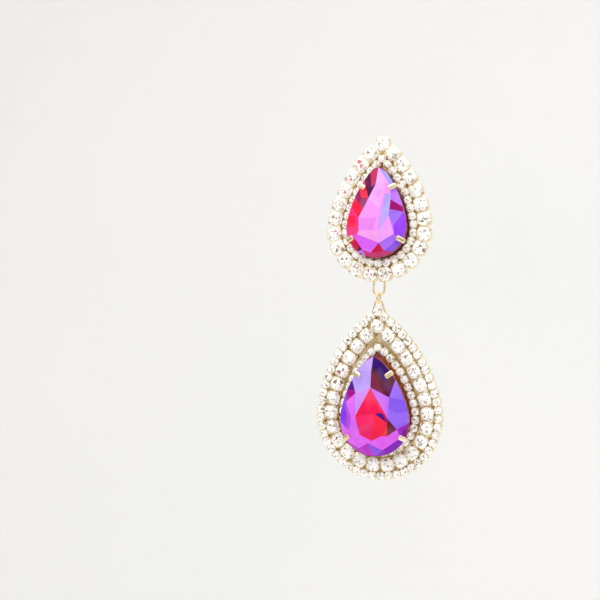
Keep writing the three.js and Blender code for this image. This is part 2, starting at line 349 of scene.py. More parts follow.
def makeGold(name, values):
    material, shader, place = newMaterial(name, {"Metallic": 1.0})
    cloud = noiseAt(place, values["cloudScale"], 3.0)
    wear = noiseAt(place, values["wearScale"], 4.0)
    mixed = cloud * values["cloudShare"] + wear * (1 - values["cloudShare"])
    stops = [(0.32, colour(values["dark"])), (0.66, colour(values["pale"])), (0.47, colour(values["body"]))]
    plated = mixed.node("ShaderNodeValToRGB", {"stops": stops}, {0: mixed})
    # The shade attribute mixes the plating towards the painted shade colour
    shade = place.node("ShaderNodeAttribute", {"attribute_name": "shade"}, {}, "Fac")
    shaded = plated.node(
        "ShaderNodeMix", {"data_type": "RGBA"}, {0: shade, 6: plated, 7: colour(values["shade"])}, 2
    )
    shaded.into(shader, "Base Color")
    (wear * values["roughnessSpread"] + values["roughness"]).into(shader, "Roughness")
    grain = noiseAt(place, values["bumpScale"], 2.0)
    bump = grain.node(
        "ShaderNodeBump", {},
        {"Height": grain, "Strength": values["bumpStrength"], "Distance": values["bumpHeight"]},
    )
    bump.into(shader, "Normal")
    return material


stoneFinish = {
    "stops": [(0.0, "#5C4C40"), (0.3, "#B8A694"), (0.55, "#E2DAD0"), (1.0, "#FFFFFF")],
    "spark": "#E0506A", "roughness": 0.05, "glow": 0.25, "rippleScale": 1800, "ripple": 0.35,
    "cellScale": 2700, "cellShare": 0.15, "speckLeast": 0.3, "speckSpread": 0.6,
}


def makeClearStone(name, values):
    material, shader, place = newMaterial(
        name, {"Coat Roughness": 0.03, "IOR": 1.7, "Emission Strength": values["glow"], "Coat Weight": 0.6}
    )
    # Each facet's white, grey or dark tone, the ripple and the dark specks are painted reflections and shade
    # on the clear glass
    tone = place.node("ShaderNodeAttribute", {"attribute_name": "tone"}, {}, "Fac")
    spark = place.node("ShaderNodeAttribute", {"attribute_name": "spark"}, {}, "Fac")
    ripple = noiseAt(place, values["rippleScale"], 2.0)
    cells = place.node("ShaderNodeTexVoronoi", {}, {"Vector": place, "Scale": values["cellScale"]}, "Color")
    chance = cells.node("ShaderNodeSeparateColor", {}, {0: cells})
    depth = cells.node("ShaderNodeSeparateColor", {}, {0: cells}, 1)
    speckled = chance.maths("LESS_THAN", chance, values["cellShare"])
    speck = speckled * (depth * values["speckSpread"] + values["speckLeast"])
    shade = tone + (ripple - 0.5) * values["ripple"] - speck
    stops = [(position, colour(code)) for position, code in values["stops"]]
    clear = shade.node("ShaderNodeValToRGB", {"stops": stops}, {0: shade})
    mixed = clear.node(
        # Facets marked red get a painted reflection of the pear's red back
        "ShaderNodeMix", {"data_type": "RGBA"}, {0: spark, 6: clear, 7: colour(values["spark"])}, 2
    )
    mixed.into(shader, "Base Color")
    # Emission takes the stone's colour: a painted glow
    mixed.into(shader, "Emission Color")
    (ripple * 0.1 + values["roughness"]).into(shader, "Roughness")
    return material


pearFinish = {
    "cloudScale": 120, "cloudFloor": 0.42, "cloudGain": 2.2, "streakScale": 420, "edge": "#B890D8",
    "washScale": 190, "washFloor": 0.45, "wash": 0.24, "pale": "#FFD8FF",
    "roughness": 0.05, "glow": 0.26, "depth": 0.8,
}


def makePearGlass(name, values):
    material, shader, place = newMaterial(
        name, {"Coat Weight": 0.06, "Coat Roughness": 0.02, "Specular IOR Level": 0.2,
               "Emission Strength": values["glow"]}
    )
    # The facet colours and the darker mottles mixed into them are painted reflections and shade over the
    # glass's own magenta
    facet = place.node("ShaderNodeAttribute", {"attribute_name": "facetColour"}, {}, "Color")
    cloud = noiseAt(place, values["cloudScale"], 2.0)
    deep = facet.node(
        "ShaderNodeMix", {"data_type": "RGBA", "blend_type": "MULTIPLY"},
        {0: 1.0, 6: facet, 7: colour(values["edge"])}, 2,
    )
    streak = noiseAt(place, values["streakScale"], 3.0)
    share = (cloud - values["cloudFloor"]) * values["cloudGain"] * streak
    mixed = deep.node("ShaderNodeMix", {"data_type": "RGBA"}, {0: share, 6: facet, 7: deep}, 2)
    # Pale washes over the facets are painted sheen
    wash = noiseAt(place, values["washScale"], 1.0)
    mixed = mixed.node(
        "ShaderNodeMix", {"data_type": "RGBA"},
        {0: (wash - values["washFloor"]) * values["wash"], 6: mixed, 7: colour(values["pale"])}, 2,
    )
    base = mixed.node(
        "ShaderNodeMix", {"data_type": "RGBA"}, {0: values["depth"], 6: colour("#000000"), 7: mixed}, 2
    )
    base.into(shader, "Base Color")
    # Emission takes the facet colour: a painted glow
    mixed.into(shader, "Emission Color")
    (streak * 0.05 + values["roughness"]).into(shader, "Roughness")
    return material


gold = makeGold("pale_gold_plating", goldFinish)
clearStone = makeClearStone("clear_rhinestone", stoneFinish)
pearGlass = makePearGlass("coated_magenta_glass", pearFinish)
print("stage: finishes made")

# Where each drop stands

largeCup = {"width": 4.1, "gap": 0.52, "depth": 2.1, "crown": 0.9, "dressed": 4.4, "stone": 4.3}
mediumCup = {"width": 3.9, "gap": 0.53, "depth": 2.1, "crown": 0.9, "dressed": 4.2, "stone": 4.12}
smallCup = {"width": 2.25, "gap": 0.32, "depth": 1.9, "crown": 0.55, "dressed": 2.52, "stone": 2.48}

upperPear = {
    "width": 18.8, "height": 29, "tipRadius": 2.8, "forward": 5.6, "girdle": 0.6,
    "crown": 1.6, "tableInset": 3.4, "pavilion": 2.9, "pavilionInset": 5.2, "keel": 5,
    "rowStart": 0.15, "sink": 0, "clawShares": (0.225, 0.71),
}
lowerPear = {
    "width": 21.7, "height": 31.5, "tipRadius": 2.8, "forward": 7.3, "girdle": 0.6,
    "crown": 1.8, "tableInset": 3.9, "pavilion": 3.4, "pavilionInset": 6, "keel": 6,
    "rowStart": -0.6, "rowTip": 1.6, "outerStart": -0.2, "rowsTaller": 1.1, "sink": 0.9,
    "clawShares": (0.19, 0.72),
}


def pearEdge(pear, taller=0):
    return sizedTeardrop(pear["width"], pear["height"] + taller, pear["tipRadius"])


upperEdge = pearEdge(upperPear)
lowerEdge = pearEdge(lowerPear)
lowerRowsEdge = pearEdge(lowerPear, lowerPear["rowsTaller"])
upperInnerOut = upperPear["rowStart"] + smallCup["width"] / 2
upperOuterOut = upperInnerOut + smallCup["width"] / 2 + drops["clearance"] + largeCup["width"] / 2
lowerInnerOut = lowerPear["rowStart"] + smallCup["width"] / 2
lowerMiddleStart = lowerPear["outerStart"] + smallCup["width"] + drops["clearance"]
lowerMiddleOut = lowerMiddleStart + mediumCup["width"] / 2
lowerOuterOut = lowerMiddleOut + mediumCup["width"] / 2 + drops["clearance"] + smallCup["width"] / 2
upperStonesEdge = upperEdge.grown(upperOuterOut + largeCup["width"] / 2, True)
lowerStonesEdge = lowerRowsEdge.grown(lowerOuterOut + smallCup["width"] / 2, True)

loops = {
    "upperWidth": 4, "upperReach": 4.3, "upperFoot": 1.4,
    "lowerWidth": 3, "lowerReach": 2.6, "lowerSpread": 6, "lowerFoot": 3.6, "linkDiameter": 3.85,
    "steps": 20, "sides": 4,
}
wireRadius = drops["wire"] / 2
wireStep = drops["wire"] + drops["clearance"]
upperLoopCentre = -(upperStonesEdge.radius + loops["upperReach"] - wireRadius)
lowerOuterTip = lowerRowsEdge.grown(lowerOuterOut, True).tip
lowerLoopCentre = lowerOuterTip + smallCup["width"] / 2 + loops["lowerReach"] - wireRadius

pivots = {joint["name"]: Vector(joint["pos_m"]) for joint in frame["joints"]}
toMetres = Matrix.Scale(drops["millimetre"], 4)
upperLean = Matrix.Rotation(-math.radians(drops["upperLean"]), 4, "X")
lowerTilt = Matrix.Rotation(math.radians(drops["lowerTilt"]), 4, "X")
postPlace = toMetres @ upperLean
upperPlace = postPlace @ Matrix.Translation((0, 0, -drops["postHeight"]))
lowerPlace = (
    Matrix.Translation(pivots["side_swing"]) @ toMetres @ lowerTilt
    @ Matrix.Translation((0, drops["plate"] / 2, wireStep - lowerLoopCentre))
)

# Cup chain: a rhinestone in a four-prong cup, repeated along each row

rhinestone = {
    "sides": 16, "girdle": 0.1, "table": 0.39, "mainSlope": 34.5, "starSlope": 20, "edgeSlope": 42,
    "starReach": 0.527, "below": 0.3, "backShrink": 0.7, "loose": 2.5, "spin": 6, "squareness": 3.2,
}


def makeStoneTemplate():
    values = rhinestone
    top = values["table"]
    below = values["below"]
    bpy.ops.mesh.primitive_cylinder_add(
        vertices=values["sides"], radius=1, depth=top + below, location=(0, 0, (top - below) / 2)
    )
    stone = startPiece("stone_template")
    bpy.ops.object.transform_apply(location=True)
    editing(True)
    step = 360 / values["sides"]
    cuts = [(2 * step * k, values["mainSlope"], 1.0, values["girdle"]) for k in range(8)]
    cuts += [(2 * step * k + step, values["starSlope"], values["starReach"], top) for k in range(8)]
    edgeReach = math.cos(math.radians(step / 2))
    cuts += [(step * (k + 0.5), values["edgeSlope"], edgeReach, values["girdle"]) for k in range(16)]
    for turn, slope, reach, height in cuts:
        around, steep = math.radians(turn), math.radians(slope)
        out = Vector((math.cos(around), math.sin(around), 0))
        bpy.ops.mesh.select_all(action="SELECT")
        bpy.ops.mesh.bisect(
            plane_co=out * reach + Vector((0, 0, height)),
            plane_no=out * math.sin(steep) + Vector((0, 0, math.cos(steep))),
            use_fill=True, clear_outer=True,
        )
    choose(stone, "faces", lambda face: face.normal.z > 0.999)
    bpy.ops.mesh.poke()
    choose(stone, "faces", lambda face: face.normal.z < -0.999)
    bpy.ops.transform.resize(value=(values["backShrink"], values["backShrink"], 1))
    editing(False)
    power = values["squareness"]
    for corner in stone.data.vertices:  # a little square, as the four prongs make it look
        reach = math.hypot(corner.co.x, corner.co.y)
        if reach > 0.3:
            powers = abs(corner.co.x / reach) ** power + abs(corner.co.y / reach) ** power
            flat = powers ** (-1 / power)
            corner.co.x, corner.co.y = corner.co.x * flat, corner.co.y * flat
    stone.data.transform(Matrix.Rotation(math.pi / 2, 4, "X"))
    stone.data.attributes.new("tone", "FLOAT", "FACE")
    stone.data.attributes.new("spark", "FLOAT", "FACE")
    return stone


# Shares of facets painted white, then grey, by facet kind; the rest are painted dark
facetLightShares = {"table": (0.6, 0.35), "star": (0.62, 0.33), "edge": (0.72, 0.24)}  # white, then grey


# Paints each facet's reflection white, grey or dark at random, and a red reflection of the pear on some
# facets that face the front
def paintFacetLight(stone, redReflectionShare):
    paintedFacetLights = stone.data.attributes["tone"].data
    paintedRedReflections = stone.data.attributes["spark"].data
    for face in stone.data.polygons:
        front = -face.normal.y
        chance = random.random()
        white, grey = facetLightShares["table" if front > 0.97 else "star" if front > 0.88 else "edge"]
        if chance < white:
            paintedFacetLights[face.index].value = 1.0
        elif chance < white + grey:
            paintedFacetLights[face.index].value = random.uniform(0.45, 0.8)
        else:
            paintedFacetLights[face.index].value = random.uniform(0.1, 0.4)
        paintedRedReflections[face.index].value = 1.0 if random.random() < redReflectionShare and front > 0.7 else 0.0


cupShape = {  # shares of the cup's width or depth; bevel, prongThick and prongSunk are in millimetres
    "corner": 0.27, "cornerCut": 0.41, "rim": 0.05, "well": 0.35, "rimDrop": 0.12, "bevel": 0.05,
    "seat": 0.84,
    "prongWidth": 0.17, "prongOver": 0.17, "prongDepth": 0.8, "prongThick": 0.3, "prongSunk": 0.16,
    "prongBends": [(0.5, 0.13, (0.9, 1, 0.85)), (0.7, 0.05, (0.6, 1, 0.6))],  # inwards, forward, taper
}


def makeCupTemplate(size):
    width, depth = size["dressed"], size["depth"] * (1 - cupShape["rimDrop"])
    bpy.ops.mesh.primitive_cube_add(size=1, location=(0, -depth / 2, 0), scale=(width, depth, width))
    cup = startPiece("cup_template")
    bpy.ops.object.transform_apply(location=True, scale=True)
    editing(True)
    choose(cup, "edges", lambda edge: abs((edge.verts[0].co - edge.verts[1].co).y) > depth / 2)
    bpy.ops.mesh.bevel(offset=cupShape["corner"] * width, segments=3)
    choose(cup, "faces", lambda face: face.normal.y < -0.9)
    bpy.ops.mesh.inset(thickness=cupShape["rim"] * width)
    bpy.ops.mesh.extrude_region_move(TRANSFORM_OT_translate={"value": (0, cupShape["well"] * depth, 0)})
    editing(False)
    prongs = []
    diagonal = math.sqrt(2) / 2 - cupShape["cornerCut"] * cupShape["corner"]
    reach = diagonal * width - cupShape["prongSunk"]
    prongDepth = cupShape["prongDepth"] * depth
    over = cupShape["prongOver"] * width
    for k in range(4):
        bpy.ops.mesh.primitive_cube_add(
            size=1, location=(reach, prongDepth / 2 - depth, 0),
            scale=(cupShape["prongThick"], prongDepth, cupShape["prongWidth"] * width),
        )
        prong = startPiece("prong")
        bpy.ops.object.transform_apply(location=True, scale=True)
        editing(True)
        choose(prong, "faces", lambda face: face.normal.y < -0.9)
        for inwards, forward, taper in cupShape["prongBends"]:
            bpy.ops.mesh.extrude_region_move(
                TRANSFORM_OT_translate={"value": (-over * inwards, -size["depth"] * forward, 0)}
            )
            bpy.ops.transform.resize(value=taper)
        editing(False)
        prong.data.transform(Matrix.Rotation(math.radians(45 + 90 * k), 4, "Y"))
        prongs.append(prong)
    return joinPieces([cup] + prongs, "cup_template")


cupBar = {"width": 0.7, "depth": 0.45, "run": 0.6}


def makeRow(name, path, size, body, node, place, redReflectionShare):
    count = round(path.length / (size["width"] + size["gap"]))
    spots = [path.at(i * path.length / count) for i in range(count)]
    cupTemplate = makeCupTemplate(size)
    radius = size["stone"] / 2
    crownHeight = rhinestone["table"] - rhinestone["girdle"]
    seat = cupShape["seat"]
    front = size["crown"] + (1 - seat) * size["depth"]
    shape = Matrix.Diagonal((radius, front / crownHeight, radius, 1))
    lift = Matrix.Translation((0, front * rhinestone["girdle"] / crownHeight - seat * size["depth"], 0))
    cups, stones = [], []
    for point, normal in spots:
        there = facing(point, normal, rowBase)
        cups.append(copyAt(cupTemplate, there))
        nod, sway = (math.radians(random.gauss(0, rhinestone["loose"])) for _ in range(2))
        wobble = Matrix.Rotation(nod, 4, "X") @ Matrix.Rotation(sway, 4, "Z")
        turn = math.radians(random.uniform(-rhinestone["spin"], rhinestone["spin"]))
        spin = Matrix.Rotation(turn, 4, "Y")
        stone = copyAt(stoneTemplate, there @ lift @ wobble @ shape @ spin)
        paintFacetLight(stone, redReflectionShare if point.x < 0 else 0)
        stones.append(stone)
    for i, (point, _) in enumerate(spots):
        across = spots[(i + 1) % count][0] - point
        middle = point + across / 2
        run = across.length - size["width"] + cupBar["run"]
        bpy.ops.mesh.primitive_cube_add(size=1, scale=(run, cupBar["depth"], cupBar["width"]))
        bar = startPiece("bar")
        bpy.ops.object.transform_apply(scale=True)
        bar.data.transform(facing(middle, across.normalized(), rowBase + size["depth"] / 2))
        cups.append(bar)
    discard(cupTemplate)
    cupRow = joinPieces(cups, name + "_cups")
    bevelSharp(cupRow, cupShape["bevel"], 1, 40)
    stoneRow = joinPieces(stones, name + "_stones")
    finishPiece(cupRow, body, [node], gold, place)
    finishPiece(stoneRow, body, [node], clearStone, place)
    print("stage:", name, count, "stones")


stoneTemplate = makeStoneTemplate()
lowerInnerPath = lowerEdge.grown(lowerInnerOut, tipRadius=lowerPear["rowTip"])
# The red facets are a painted reflection of the pear's red back
rows = [  # the last value is the share of facets, left of the middle, that throw the pear's red back
    ("upper_inner", upperEdge.grown(upperInnerOut, True), smallCup, "upper_drop", upperPlace, 0.0),
    ("upper_outer", upperEdge.grown(upperOuterOut, True), largeCup, "upper_drop", upperPlace, 0.035),
    ("lower_inner", lowerInnerPath, smallCup, "lower_drop", lowerPlace, 0.0),
    ("lower_middle", lowerRowsEdge.grown(lowerMiddleOut, True), mediumCup, "lower_drop", lowerPlace, 0.006),
    ("lower_outer", lowerRowsEdge.grown(lowerOuterOut, True), smallCup, "lower_drop", lowerPlace, 0.0),
]
for name, path, size, body, place, redReflectionShare in rows:
    makeRow(name, path, size, body, name + "_row", place, redReflectionShare)
discard(stoneTemplate)

# Pear stones: the crown's facets, each painted with the colour that the coated glass throws back there: its
# own magenta and coating, with reflections and shade painted in

edgeSteps = 48
pearSides = {"girdle": "#A02838", "back": "#7A1460", "slant": 0.75, "keelShrink": (0.05, 1, 0.3)}

# Corners are (x, z) in millimetres, or a count of twenty-fourths of the edge clockwise from the tip.
upperFacets = [
    ("#D070F0", list(range(24))),
    ("#FF9CFF", [0, (-0.3, 12.8), (-5.3, 2.5), (-5.0, -1.4), (-5.5, -2.4), (1.4, -5.1), (6.0, -2.3),
                 (4.2, 3.2), (4.5, 8.2), (4.2, 12.2)]),
    ("#FFB0FC", [0, (-0.3, 12.8), (-2.2, 8.4), (1.0, 5.6), (2.6, 10.1), (2.4, 14.0)]),
    ("#F08CF6", [(-5.3, 2.5), (-5.0, -1.4), (-0.6, -1.2), (0.4, 2.7)]),
    ("#FFA8F0", [(-5.0, -1.4), (-5.5, -2.4), (1.4, -5.1), (1.0, -1.6), (-0.6, -1.2)]),
    ("#F4A4FF", [(1.0, -1.6), (1.4, -5.1), (6.0, -2.3), (4.2, 3.2), (2.5, 0.9)]),
    ("#CCA4FF", [(2.6, 10.1), (4.3, 10.1), (4.5, 8.2), (4.2, 3.2), (2.5, 0.9), (1.0, -1.6), (1.0, 2.3)]),
    ("#B4A8FF", [(3.3, 10.1), (4.4, 9.4), (4.2, 4.2), (2.9, 2.0), (2.3, 4.4)]),
    ("#A8A4F8", [0, 1, 2, (5.3, 12.4), (4.2, 12.2)]),
    ("#5A0A48", [0, (-0.3, 12.8), (-2.4, 8.5), 22, 23]),
    ("#C01050", [0, (-0.3, 12.8), (-1.6, 11.9), 23]),
    ("#FF1846", [22, 21, 20, 19, (-5.3, 2.5), (-2.4, 8.5)]),
    ("#A01060", [21, (-4.9, 8.9), (-2.4, 8.5), (-3.9, 5.5), (-5.6, 7.2), 20]),
    ("#FF2A80", [19, 18, 17, 16, (-5.5, -2.4), (-5.0, -1.4), (-5.3, 2.5)]),
    ("#FF1846", [18, (-6.6, 3.4), (-6.0, -0.6), 17]),
    ("#F01840", [16, 15, (-5.9, -4.2), (-5.5, -2.4)]),
    ("#D8084C", [15, 14, (-3.9, -7.0), (-5.9, -4.2)]),
    ("#4A0848", [14, (-3.9, -7.0), (-5.2, -5.9)]),
    ("#FF50D8", [16, (-7.0, -3.6), (-5.9, -4.2), (-5.5, -2.4)]),
    ("#C078FF", [(5.3, 12.4), 3, 4, 5, (4.5, 8.2), (4.2, 12.2)]),
    ("#A0006A", [(4.5, 8.2), 5, (8.4, 4.6), (4.3, 5.2)]),
    ("#A070F0", [(4.3, 5.2), (8.4, 4.6), (5.8, 0.4), (4.2, 3.2)]),
    ("#9C40FF", [(8.4, 4.6), 6, 7, 8, (7.1, -3.1), (6.0, -2.3), (5.8, 0.4)]),
    ("#E468FF", [(-5.5, -2.4), (1.4, -5.1), (-1.3, -8.0), (-3.9, -7.0), (-5.9, -4.2)]),
    ("#B070FF", [(1.4, -5.1), (6.0, -2.3), (6.6, -4.2), (2.9, -7.4)]),
    ("#D00040", [(1.4, -5.1), (2.9, -7.4), (-1.3, -8.0)]),
    ("#8850E8", [8, 9, 10, (2.9, -7.4), (6.6, -4.2), (7.1, -3.1)]),
    ("#C83070", [10, 11, 12, 13, (-3.9, -7.0), (-1.3, -8.0), (2.9, -7.4)]),
    ("#9CB4FF", [0, (-0.3, 12.8), (-5.3, 2.5), (-5.0, 2.6), (0.0, 12.9)]),
]
lowerFacets = [
    ("#C030D0", list(range(24))),
    ("#C0A4FF", [0, (-0.6, 10.4), (-5.4, 8.6), 21, 22, 23]),
    ("#D890FF", [(-0.6, 10.4), (-5.6, 1.6), (-5.4, 8.6)]),
    ("#5C0026", [0, 1, 2, 3, (5.2, 7.5), (-0.6, 10.4)]),
    ("#7C0038", [(-0.3, 15.4), (1.8, 12.4), (3.4, 8.4), (-0.6, 10.4)]),
    ("#320068", [0, 1, 2, (4.9, 13.5), (3.6, 11.8), (2.1, 14.7), (-0.1, 16.5)]),
    ("#5A0A58", [(5.2, 7.5), 3, (5.9, 10.6), (3.6, 11.8), (4.4, 9.8)]),
    ("#D070FF", [(-0.6, 10.4), (5.2, 7.5), (4.6, 1.0)]),
    ("#A070FF", [(5.2, 7.5), 3, 4, 5, 6, 7, (7.3, -2.3), (4.6, 1.0)]),
    ("#8C5CF4", [(5.2, 7.5), 5, 6, (7.6, 2.6), (4.9, 4.0)]),
    ("#B020D0", [(7.3, -2.3), 7, 8, (8.3, -4.9)]),
    ("#8A1090", [7, 8, 9, (8.3, -4.9), (9.0, -2.8)]),
    ("#FF0A52", [(-0.6, 10.4), (-5.6, 1.6), (0.5, 2.5), (2.9, 2.7), (4.6, 1.0)]),
    ("#FF2268", [(-5.6, 1.6), (-4.3, -4.0), (-0.6, -5.9), (0.5, 2.5)]),
    ("#FF2048", [(0.5, 2.5), (-0.6, -5.9), (2.3, -4.4), (4.4, -0.3)]),
    ("#FF2030", [(2.3, -4.4), (4.4, -4.3), (4.4, -0.3)]),
    ("#3A1088", [(0.5, 2.5), (2.9, 2.7), (4.4, -0.3)]),
    ("#C80850", [(2.9, 2.7), (4.6, 1.0), (4.4, -0.3)]),
    ("#6A0028", [(4.6, 1.0), (7.3, -2.3), (4.4, -4.3), (4.4, -0.3)]),
    ("#4A1090", [21, (-5.4, 8.6), (-8.7, 5.8), 20]),
    ("#A80088", [(-5.4, 8.6), (-8.7, 5.8), 20, (-5.8, 9.5)]),
    ("#8A40F0", [20, (-8.7, 5.8), (-8.6, -2.4), 17, 18, 19]),
    ("#E86CFF", [(-5.4, 8.6), (-5.6, 1.6), (-4.3, -4.0), (-8.6, -2.4), (-8.7, 5.8)]),
    ("#C050E8", [(-8.7, 5.8), (-7.0, 1.8), (-7.6, -2.6), (-8.6, -2.4)]),
    ("#F070FF", [(-8.6, -2.4), (-4.3, -4.0), (-0.6, -5.9), (-1.8, -6.6), (-4.9, -8.3), 15, 16, 17]),
    ("#F468FF", [(-0.6, -5.9), (2.3, -4.4), (4.4, -4.3), (7.3, -2.3), (8.3, -4.9), (2.5, -8.8),
                 (-1.8, -6.6)]),
    ("#9050F0", [(-1.8, -6.6), (2.5, -8.8), 12]),
    ("#C030D0", [(-4.9, -8.3), (-1.8, -6.6), 12, 13, 14]),
    ("#8A20C0", [(2.5, -8.8), (8.3, -4.9), 9, 10, 11, 12]),
    ("#A8B4FF", [(-0.8, 10.3), (-0.5, 10.6), (-5.7, 1.9), (-5.9, 1.7)]),
    ("#B8A8FF", [(-5.4, 8.6), (-5.1, 8.6), (-5.4, 2.2), (-5.6, 1.6)]),
]


def pearHeight(edgePoints, point, pear):
    near = min((point - corner).length for corner in edgePoints)
    return pear["crown"] * min(1, near / pear["tableInset"])


def makePear(name, edge, pear, facets, body, place):  # a crown from the facets, then sides and back extruded
    edgePoints = edge.ring(edgeSteps)
    finePoints = edge.ring(edgeSteps * 8)
    flat, polygons = list(edgePoints), [list(range(edgeSteps))[::-1]]
    for _, corners in facets[1:]:
        polygon = []
        for corner in corners:
            if isinstance(corner, int):
                polygon.append(corner * edgeSteps // 24)
            else:
                flat.append(Vector(corner))
                polygon.append(len(flat) - 1)
        turning = sum(flat[a].cross(flat[b]) for a, b in zip(polygon, polygon[1:] + polygon[:1]))
        polygons.append(polygon if turning > 0 else polygon[::-1])
    corners, _, triangles, _, _, origins = delaunay_2d_cdt(flat, [], polygons, 1, 0.02)
    mesh = bmesh.new()
    front = pear["forward"] + pear["girdle"]
    made = []
    for corner in corners:
        onEdge = min((corner - other).length for other in edgePoints) < 0.05
        rise = 0 if onEdge else pearHeight(finePoints, corner, pear)
        made.append(mesh.verts.new((corner.x, -front - rise, corner.y)))
    layer = mesh.faces.layers.float_color.new("facetColour")
    for triangle, origin in zip(triangles, origins):
        if 0 not in origin:
            continue
        face = mesh.faces.new([made[i] for i in triangle])
        face[layer] = colour(facets[max(origin)][0])
    bmesh.ops.delete(mesh, geom=[v for v in mesh.verts if not v.link_faces], context="VERTS")
    bmesh.ops.recalc_face_normals(mesh, faces=mesh.faces)
    data = bpy.data.meshes.new(name)
    mesh.to_mesh(data)
    mesh.free()
    stone = bpy.data.objects.new(name, data)
    bpy.context.collection.objects.link(stone)
    bpy.context.view_layer.objects.active = stone
    stone.select_set(True)
    editing(True)
    choose(stone, "edges", lambda side: side.is_boundary)
    bpy.ops.mesh.extrude_region_move(TRANSFORM_OT_translate={"value": (0, pear["girdle"], 0)})
    back = -pear["forward"] + 0.001
    shrink = 1 - pear["pavilionInset"] / (pear["width"] / 2)
    middle = Vector((0, 0, pear["keel"] / 2))
    slant = pearSides["slant"] * pear["pavilion"]
    bpy.ops.mesh.extrude_region_move(TRANSFORM_OT_translate={"value": (0, slant, 0)})
    bpy.ops.transform.resize(value=(shrink, 1, shrink), center_override=middle)
    bpy.ops.mesh.extrude_region_move(TRANSFORM_OT_translate={"value": (0, pear["pavilion"] - slant, 0)})
    bpy.ops.transform.resize(value=pearSides["keelShrink"], center_override=middle)
    bpy.ops.mesh.edge_face_add()
    bpy.ops.mesh.select_all(action="SELECT")
    bpy.ops.mesh.normals_make_consistent(inside=False)
    mesh = bmesh.from_edit_mesh(data)
    layer = mesh.faces.layers.float_color["facetColour"]
    for face in mesh.faces:
        level = face.calc_center_median().y
        if level > -front - 0.02:
            face[layer] = colour(pearSides["girdle" if level < back else "back"])
    bmesh.update_edit_mesh(data)
    editing(False)
    stone.select_set(False)
    sunk = Matrix.Translation((0, 0, -pear["sink"]))
    finishPiece(stone, body, [name], pearGlass, place @ sunk)
    print("stage:", name, len(data.polygons), "facets")


makePear("upper_pear_stone", upperEdge, upperPear, upperFacets, "upper_drop", upperPlace)
makePear("lower_pear_stone", lowerEdge, lowerPear, lowerFacets, "lower_drop", lowerPlace)

# Claw settings: a tray with a wall and a lip, both darkened with painted shade, and four claws bent over the
# stone's edge

claws = {
    "wall": 0.5, "floor": 0.6, "width": 1.7, "thickness": 0.5, "reach": 1.9, "outlineSteps": 96,
    "bend": [(0, -0.35), (-0.2, -0.08)],  # outwards and forward from the corner over the edge
    "lift": 0.05, "bevel": 0.12, "lipShade": 0.8,
}


def makeClaw(pear, wallInset):
    out = drops["clearance"] + claws["thickness"] / 2
    over = pear["forward"] + pear["girdle"] + drops["clearance"] + claws["thickness"] / 2
    slope = pear["crown"] / pear["tableInset"]
    foot = -wallInset - claws["wall"] / 2
    rowFront = rowBase + smallCup["depth"] + smallCup["crown"] + drops["clearance"]
    reach = claws["reach"]
    run = [(foot, rowFront - claws["thickness"]), (-wallInset, rowFront), (out, pear["forward"])]
    run += [(out + outwards, over + forward) for outwards, forward in claws["bend"]]
    run.append((0, over + claws["lift"]))
    run += [(-share * reach, over + slope * share * reach) for share in (0.5, 1)]
    half = claws["width"] / 2
    bpy.ops.mesh.primitive_plane_add(size=1)
    claw = startPiece("claw")
    editing(True)
    mesh = bmesh.from_edit_mesh(claw.data)
    for corner in mesh.verts:
        x, depth = run[0] if corner.co.x < 0 else run[1]
        corner.co = (x, -depth, half if corner.co.y > 0 else -half)
    bmesh.update_edit_mesh(claw.data)
    choose(claw, "edges", lambda side: all(abs(v.co.x - run[1][0]) < 0.01 for v in side.verts))
    last = run[1]
    for x, depth in run[2:]:
        step = (x - last[0], last[1] - depth, 0)
        bpy.ops.mesh.extrude_region_move(TRANSFORM_OT_translate={"value": step})
        last = (x, depth)
    bpy.ops.mesh.select_all(action="SELECT")
    bpy.ops.mesh.normals_make_consistent(inside=False)
    editing(False)
    useModifier(claw, "SOLIDIFY", thickness=claws["thickness"], offset=0)
    useModifier(claw, "SUBSURF", levels=2, render_levels=2)
    return claw


def wallInsetOf(pear):
    return max(pear["sink"] - pear["rowStart"], 0) + drops["clearance"]


def makeSetting(name, edge, pear, body, place):
    wallInset = wallInsetOf(pear)
    outer = edge.grown(-wallInset)
    inner = outer.grown(-claws["wall"])
    slope = pear["pavilion"] * pearSides["slant"] / pear["pavilionInset"]
    wallTop = pear["forward"] - slope * (wallInset + claws["wall"]) - drops["clearance"]
    steps = claws["outlineSteps"]
    tray = loftRings("tray", [
        ringAt(outer, 0, steps), ringAt(outer, wallTop, steps), ringAt(inner, wallTop, steps),
        ringAt(inner, claws["floor"], steps),
    ], True)
    bevelSharp(tray, claws["bevel"], 2, 50)
    # Painted shade on the tray: the wall's sides take the full shade colour, the lip lipShade of it, and the
    # back face none
    shade = tray.data.attributes.new("shade", "FLOAT", "FACE").data
    for face in tray.data.polygons:
        isBack = face.normal.y > 0.6 and face.center.y > -claws["floor"] / 2
        shade[face.index].value = 0.0 if isBack else 1.0 if face.normal.y > -0.6 else claws["lipShade"]
    template = makeClaw(pear, wallInset)
    shares = [share * side for share in pear["clawShares"] for side in (1, -1)]
    placed = [copyAt(template, facing(*edge.at(share * edge.half), 0)) for share in shares]
    discard(template)
    setting = joinPieces([tray] + placed, name)
    smoothCurves(setting)
    sunk = Matrix.Translation((0, 0, -pear["sink"]))
    finishPiece(setting, body, [name], gold, place @ sunk)
    print("stage:", name)


makeSetting("upper_claw_setting", upperEdge, upperPear, "upper_drop", upperPlace)
makeSetting("lower_claw_setting", lowerEdge, lowerPear, "lower_drop", lowerPlace)

# Back frames, with the loops soldered to them

frames = {
    "upperOverhang": 3.2, "lowerOverhang": 1.1, "outerStrip": 2.3, "windowWidth": 1.5, "windows": 8,
    "steps": 96, "bevel": 0.14, "trayGap": 0.04,
}


